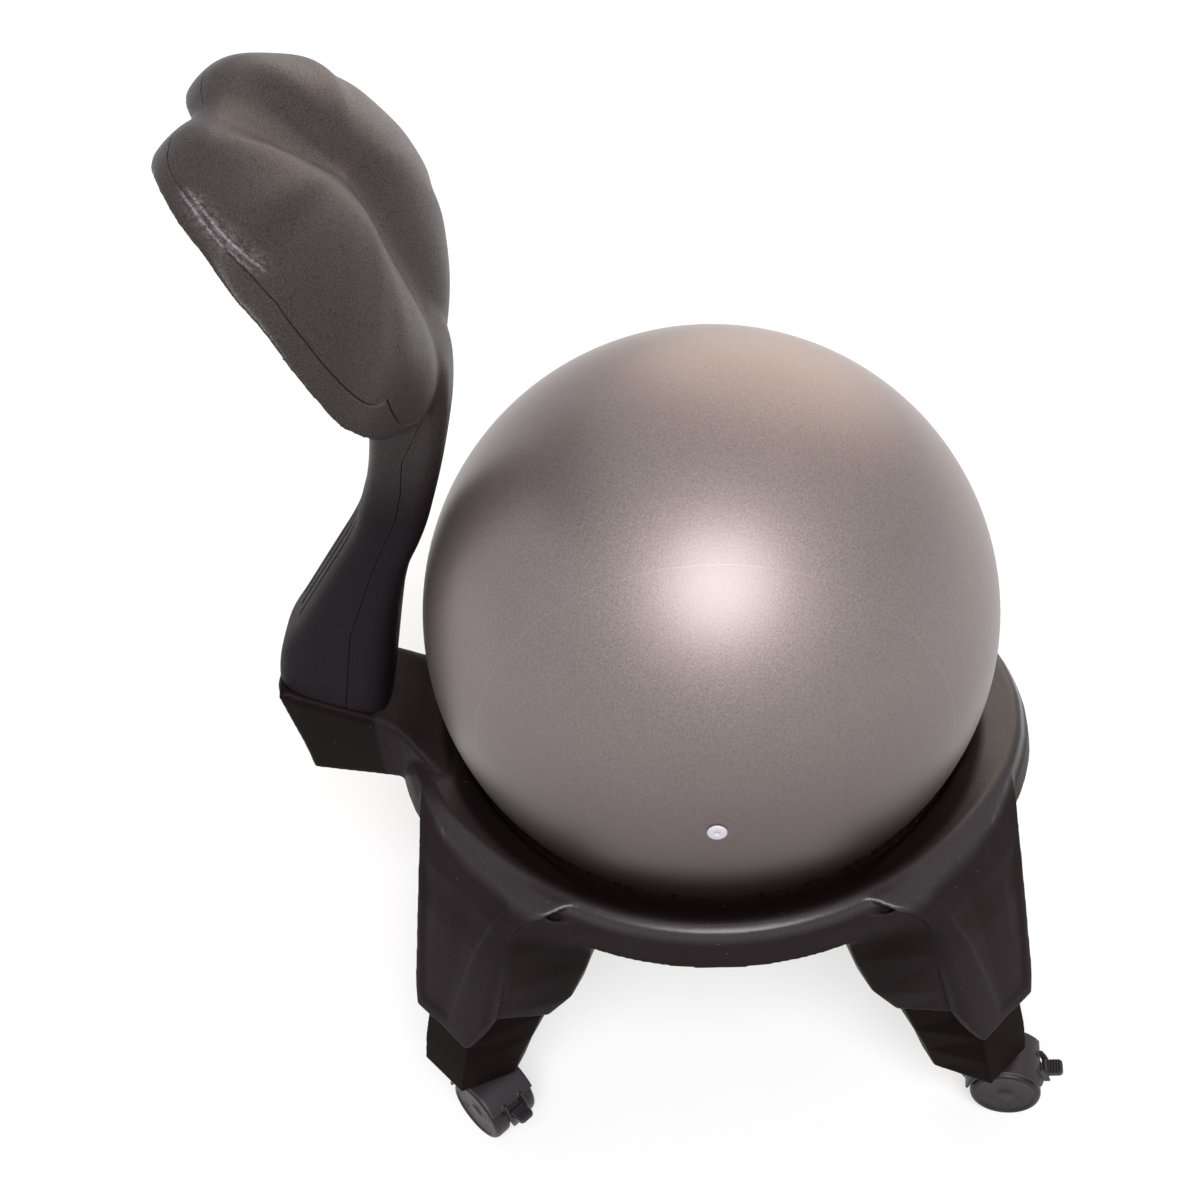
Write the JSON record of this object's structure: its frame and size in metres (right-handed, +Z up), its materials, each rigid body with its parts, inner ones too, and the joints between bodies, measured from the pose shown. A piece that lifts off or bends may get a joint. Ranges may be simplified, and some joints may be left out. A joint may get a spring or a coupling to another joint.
{
  "type": "balance ball chair",
  "caption": "Chair that seats its user on an exercise ball held in a moulded ring base, with splayed legs on braked twin-wheel casters and a reclined two-lobed back.",
  "frame": {"origin": "on the floor, straight below the centre of the ball", "axes": "+Z up, +Y towards the back and the tail that carries it, -Y the front that the user faces, +X to the right as seen from the front"},
  "size_m": [0.5922, 0.7214, 0.9278],
  "materials": {
    "ball_skin": "satin pearlescent skin, grey-brown, with a fine grain",
    "valve_white": "smooth off-white",
    "frame_plastic": "black-brown moulded plastic with a fine sand grain",
    "leg_plastic": "darker moulded plastic, low sheen",
    "back_plastic": "leather-grained moulded plastic, worn and shinier along the seam",
    "caster_plastic": "black moulded plastic",
    "wheel_plastic": "black plastic wheel with a dull tread",
    "steel": "zinc-plated steel"
  },
  "bodies": {
    "base": {"base_frame": "frame_plastic", "tail_cover": "leg_plastic", "tail_cover_screw_1": "steel", "tail_cover_screw_2": "steel", "tail_cover_screw_3": "steel", "tail_cover_screw_4": "steel", "leg_extension_rear_right": "leg_plastic", "leg_screw_rear_right": "steel", "caster_socket_rear_right": "steel", "leg_extension_rear_left": "leg_plastic", "leg_screw_rear_left": "steel", "caster_socket_rear_left": "steel", "leg_extension_front_left": "leg_plastic", "leg_screw_front_left": "steel", "caster_socket_front_left": "steel", "leg_extension_front_right": "leg_plastic", "leg_screw_front_right": "steel", "caster_socket_front_right": "steel", "backrest_front_shell": "back_plastic", "backrest_rear_shell": "back_plastic", "backrest_screw_1": "steel", "backrest_screw_2": "steel", "backrest_screw_3": "steel", "backrest_screw_4": "steel", "backrest_nut_plate": "steel", "backrest_bolt_1": "steel", "backrest_bolt_2": "steel", "backrest_bolt_3": "steel", "backrest_bolt_4": "steel"},
    "ball": {"ball": "ball_skin"},
    "valve_plug": {"valve_plug": "valve_white"},
    "caster_rear_right": {"caster_stem_rear_right": "steel", "caster_hood_rear_right": "caster_plastic", "caster_axle_rear_right": "steel"},
    "wheel_a_rear_right": {"caster_wheel_a_rear_right": "wheel_plastic"},
    "wheel_b_rear_right": {"caster_wheel_b_rear_right": "wheel_plastic"},
    "brake_rear_right": {"brake_lever_rear_right": "caster_plastic"},
    "caster_rear_left": {"caster_stem_rear_left": "steel", "caster_hood_rear_left": "caster_plastic", "caster_axle_rear_left": "steel"},
    "wheel_a_rear_left": {"caster_wheel_a_rear_left": "wheel_plastic"},
    "wheel_b_rear_left": {"caster_wheel_b_rear_left": "wheel_plastic"},
    "brake_rear_left": {"brake_lever_rear_left": "caster_plastic"},
    "caster_front_left": {"caster_stem_front_left": "steel", "caster_hood_front_left": "caster_plastic", "caster_axle_front_left": "steel"},
    "wheel_a_front_left": {"caster_wheel_a_front_left": "wheel_plastic"},
    "wheel_b_front_left": {"caster_wheel_b_front_left": "wheel_plastic"},
    "brake_front_left": {"brake_lever_front_left": "caster_plastic"},
    "caster_front_right": {"caster_stem_front_right": "steel", "caster_hood_front_right": "caster_plastic", "caster_axle_front_right": "steel"},
    "wheel_a_front_right": {"caster_wheel_a_front_right": "wheel_plastic"},
    "wheel_b_front_right": {"caster_wheel_b_front_right": "wheel_plastic"},
    "brake_front_right": {"brake_lever_front_right": "caster_plastic"}
  },
  "joints": [
    {"name": "swivel_rear_right", "type": "hinge", "parent": "base", "child": "caster_rear_right", "pos_m": [0.23971, 0.23971, 0.075], "axis": [0, 0, 1], "continuous": true},
    {"name": "roll_a_rear_right", "type": "hinge", "parent": "caster_rear_right", "child": "wheel_a_rear_right", "pos_m": [0.24929, 0.26602, 0.0325], "axis": [-0.9397, 0.342, 0], "continuous": true},
    {"name": "roll_b_rear_right", "type": "hinge", "parent": "caster_rear_right", "child": "wheel_b_rear_right", "pos_m": [0.24929, 0.26602, 0.0325], "axis": [-0.9397, 0.342, 0], "continuous": true},
    {"name": "brake_rear_right", "type": "hinge", "parent": "caster_rear_right", "child": "brake_rear_right", "pos_m": [0.2615, 0.29959, 0.0484], "axis": [-0.9397, 0.342, 0], "range_deg": [0, 22]},
    {"name": "swivel_rear_left", "type": "hinge", "parent": "base", "child": "caster_rear_left", "pos_m": [-0.23971, 0.23971, 0.075], "axis": [0, 0, 1], "continuous": true},
    {"name": "roll_a_rear_left", "type": "hinge", "parent": "caster_rear_left", "child": "wheel_a_rear_left", "pos_m": [-0.25951, 0.21991, 0.0325], "axis": [0.7071, -0.7071, 0], "continuous": true},
    {"name": "roll_b_rear_left", "type": "hinge", "parent": "caster_rear_left", "child": "wheel_b_rear_left", "pos_m": [-0.25951, 0.21991, 0.0325], "axis": [0.7071, -0.7071, 0], "continuous": true},
    {"name": "brake_rear_left", "type": "hinge", "parent": "caster_rear_left", "child": "brake_rear_left", "pos_m": [-0.28477, 0.19465, 0.0484], "axis": [0.7071, -0.7071, 0], "range_deg": [0, 22]},
    {"name": "swivel_front_left", "type": "hinge", "parent": "base", "child": "caster_front_left", "pos_m": [-0.23971, -0.23971, 0.075], "axis": [0, 0, 1], "continuous": true},
    {"name": "roll_a_front_left", "type": "hinge", "parent": "caster_front_left", "child": "wheel_a_front_left", "pos_m": [-0.24361, -0.26744, 0.0325], "axis": [0.9903, -0.1392, 0], "continuous": true},
    {"name": "roll_b_front_left", "type": "hinge", "parent": "caster_front_left", "child": "wheel_b_front_left", "pos_m": [-0.24361, -0.26744, 0.0325], "axis": [0.9903, -0.1392, 0], "continuous": true},
    {"name": "brake_front_left", "type": "hinge", "parent": "caster_front_left", "child": "brake_front_left", "pos_m": [-0.24858, -0.30281, 0.0484], "axis": [0.9903, -0.1392, 0], "range_deg": [0, 22]},
    {"name": "swivel_front_right", "type": "hinge", "parent": "base", "child": "caster_front_right", "pos_m": [0.23971, -0.23971, 0.075], "axis": [0, 0, 1], "continuous": true},
    {"name": "roll_a_front_right", "type": "hinge", "parent": "caster_front_right", "child": "wheel_a_front_right", "pos_m": [0.25371, -0.26396, 0.0325], "axis": [0.866, 0.5, 0], "continuous": true},
    {"name": "roll_b_front_right", "type": "hinge", "parent": "caster_front_right", "child": "wheel_b_front_right", "pos_m": [0.25371, -0.26396, 0.0325], "axis": [0.866, 0.5, 0], "continuous": true},
    {"name": "brake_front_right", "type": "hinge", "parent": "caster_front_right", "child": "brake_front_right", "pos_m": [0.27157, -0.29489, 0.0484], "axis": [0.866, 0.5, 0], "range_deg": [0, 22]},
    {"name": "ball_lift", "type": "slide", "parent": "base", "child": "ball", "axis": [0, -0.45, 0.893], "range_m": [0, 0.45]},
    {"name": "valve_plug_pull", "type": "slide", "parent": "ball", "child": "valve_plug", "axis": [-1, 0, 0], "range_m": [0, 0.03]}
  ]
}
